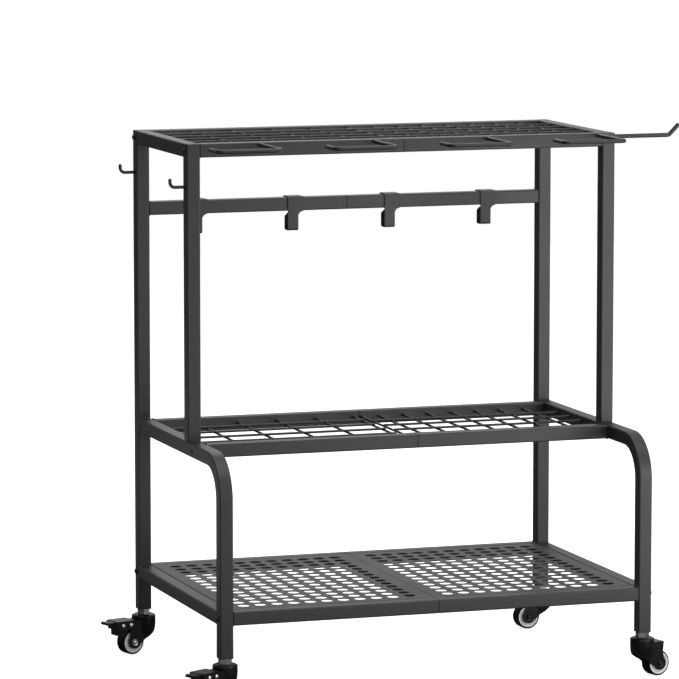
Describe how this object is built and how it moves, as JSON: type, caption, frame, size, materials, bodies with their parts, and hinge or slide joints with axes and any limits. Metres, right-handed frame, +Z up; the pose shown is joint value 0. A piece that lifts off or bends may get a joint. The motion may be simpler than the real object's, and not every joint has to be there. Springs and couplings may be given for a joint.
{
  "type": "garden tool rack",
  "caption": "Open steel-tube tool rack on swivel casters, with a perforated deck, two wire grids for handles, bar hooks and wire hooks.",
  "frame": {"origin": "centre of the underside of the bounding box, on the floor under the wheels", "axes": "+X to the viewer's right across the front, +Y towards the back, +Z up"},
  "size_m": [1.034, 0.5938, 0.9985],
  "materials": {
    "frame": "matte black powder coat",
    "deck": "matte black powder coat on sheet",
    "wire": "satin black coated wire",
    "caster_black": "gloss black coated sheet",
    "zinc": "bright zinc plated",
    "wheel": "grey hub with a black tread"
  },
  "bodies": {
    "rack": {"rear_post_l": "frame", "front_upright_l": "frame", "side_tube_l": "frame", "top_side_rail_l": "frame", "low_side_rail_l": "frame", "rear_post_r": "frame", "front_upright_r": "frame", "side_tube_r": "frame", "top_side_rail_r": "frame", "low_side_rail_r": "frame", "top_front_rail_l": "frame", "top_front_rail_r": "frame", "top_rear_rail_l": "frame", "top_rear_rail_r": "frame", "back_bar_l": "frame", "back_bar_r": "frame", "mid_front_rail_l": "frame", "mid_front_rail_r": "frame", "mid_rear_rail_l": "frame", "mid_rear_rail_r": "frame", "low_front_rail_l": "frame", "low_front_rail_r": "frame", "low_rear_rail_l": "frame", "low_rear_rail_r": "frame", "deck_cross_tube": "frame", "deck_panel_l": "deck", "deck_panel_r": "deck", "top_grid_l": "wire", "top_grid_r": "wire", "mid_grid_l": "wire", "mid_grid_r": "wire", "back_hook_1": "frame", "back_hook_2": "frame", "back_hook_3": "frame", "back_hook_4": "frame", "front_hook_1": "wire", "front_hook_2": "wire", "front_hook_3": "wire", "front_hook_4": "wire", "side_prong": "wire", "side_hook_front": "wire", "side_hook_rear": "wire", "stem_rear_l": "zinc", "stem_rear_r": "zinc", "stem_front_l": "zinc", "stem_front_r": "zinc"},
    "fork_rear_l": {"fork_rear_l": "caster_black", "axle_rear_l": "zinc"},
    "wheel_rear_l": {"wheel_rear_l": "wheel"},
    "pedal_rear_l": {"pedal_rear_l": "caster_black"},
    "fork_rear_r": {"fork_rear_r": "caster_black", "axle_rear_r": "zinc"},
    "wheel_rear_r": {"wheel_rear_r": "wheel"},
    "fork_front_l": {"fork_front_l": "caster_black", "axle_front_l": "zinc"},
    "wheel_front_l": {"wheel_front_l": "wheel"},
    "pedal_front_l": {"pedal_front_l": "caster_black"},
    "fork_front_r": {"fork_front_r": "caster_black", "axle_front_r": "zinc"},
    "wheel_front_r": {"wheel_front_r": "wheel"}
  },
  "joints": [
    {"name": "swivel_rear_l", "type": "hinge", "parent": "rack", "child": "fork_rear_l", "pos_m": [-0.42943, 0.27461, 0.0649], "axis": [0, 0, 1], "continuous": true},
    {"name": "roll_rear_l", "type": "hinge", "parent": "fork_rear_l", "child": "wheel_rear_l", "pos_m": [-0.45806, 0.26564, 0.0235], "axis": [0.299, -0.9542, 0], "continuous": true},
    {"name": "brake_rear_l", "type": "hinge", "parent": "fork_rear_l", "child": "pedal_rear_l", "pos_m": [-0.46665, 0.26294, 0.0575], "axis": [0.299, -0.9542, 0], "range_deg": [0, 8]},
    {"name": "swivel_rear_r", "type": "hinge", "parent": "rack", "child": "fork_rear_r", "pos_m": [0.36957, 0.27461, 0.0649], "axis": [0, 0, 1], "continuous": true},
    {"name": "roll_rear_r", "type": "hinge", "parent": "fork_rear_r", "child": "wheel_rear_r", "pos_m": [0.3396, 0.27319, 0.0235], "axis": [0.0471, -0.9989, 0], "continuous": true},
    {"name": "swivel_front_l", "type": "hinge", "parent": "rack", "child": "fork_front_l", "pos_m": [-0.42943, -0.24439, 0.0649], "axis": [0, 0, 1], "continuous": true},
    {"name": "roll_front_l", "type": "hinge", "parent": "fork_front_l", "child": "wheel_front_l", "pos_m": [-0.4558, -0.25871, 0.0235], "axis": [0.4772, -0.8788, 0], "continuous": true},
    {"name": "brake_front_l", "type": "hinge", "parent": "fork_front_l", "child": "pedal_front_l", "pos_m": [-0.4637, -0.263, 0.0575], "axis": [0.4772, -0.8788, 0], "range_deg": [0, 8]},
    {"name": "swivel_front_r", "type": "hinge", "parent": "rack", "child": "fork_front_r", "pos_m": [0.36957, -0.24439, 0.0649], "axis": [0, 0, 1], "continuous": true},
    {"name": "roll_front_r", "type": "hinge", "parent": "fork_front_r", "child": "wheel_front_r", "pos_m": [0.39869, -0.23719, 0.0235], "axis": [-0.2402, 0.9707, 0], "continuous": true}
  ]
}
